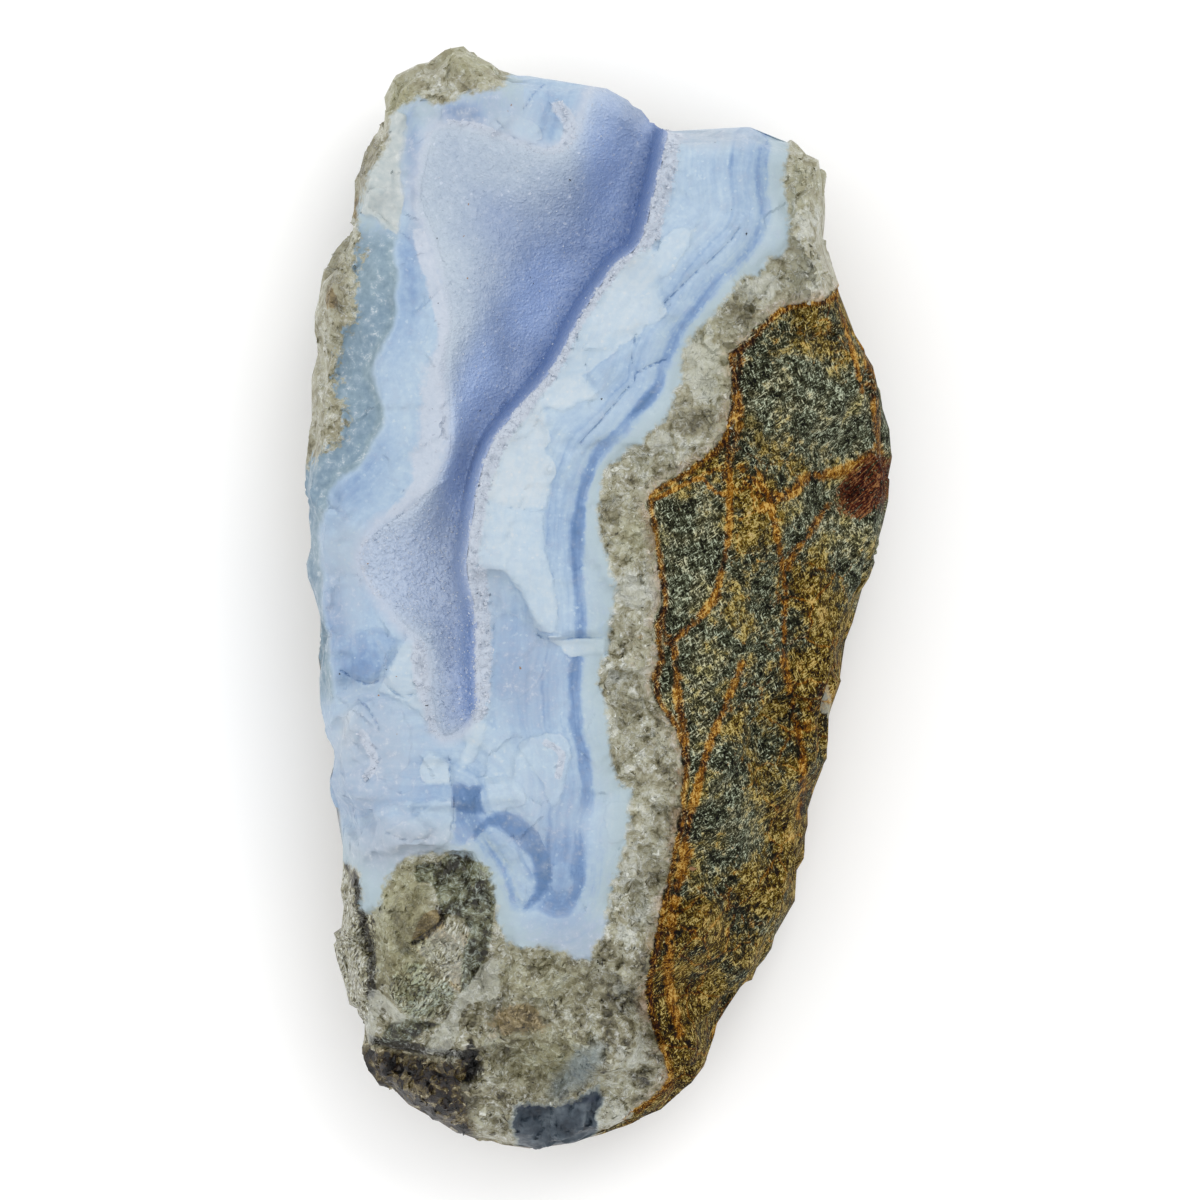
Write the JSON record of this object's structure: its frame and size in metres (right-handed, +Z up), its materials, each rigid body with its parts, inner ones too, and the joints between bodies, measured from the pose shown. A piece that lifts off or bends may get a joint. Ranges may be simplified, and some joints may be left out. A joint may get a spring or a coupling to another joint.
{
  "type": "blue lace agate geode",
  "caption": "Broken chunk of dark host rock with a banded pale blue agate wall and a long open hollow lined with fine periwinkle crystals.",
  "frame": {"origin": "middle of the bounding box in X and Y, at the level of the resting facet under the stone", "axes": "+Z up out of the resting facet, towards the broken face with the hollow; +Y along the stone's length, towards the hollow's open end; +X towards the dark host rock"},
  "size_m": [0.0712, 0.1334, 0.0376],
  "materials": {
    "banded_agate_in_rock": "waxy blue agate, sugary grey quartz and rough dark rock",
    "druse_crystal": "sparkling fine crystals"
  },
  "bodies": {
    "root": {"agate_stone": "banded_agate_in_rock", "druse_crust": "druse_crystal"}
  },
  "joints": []
}
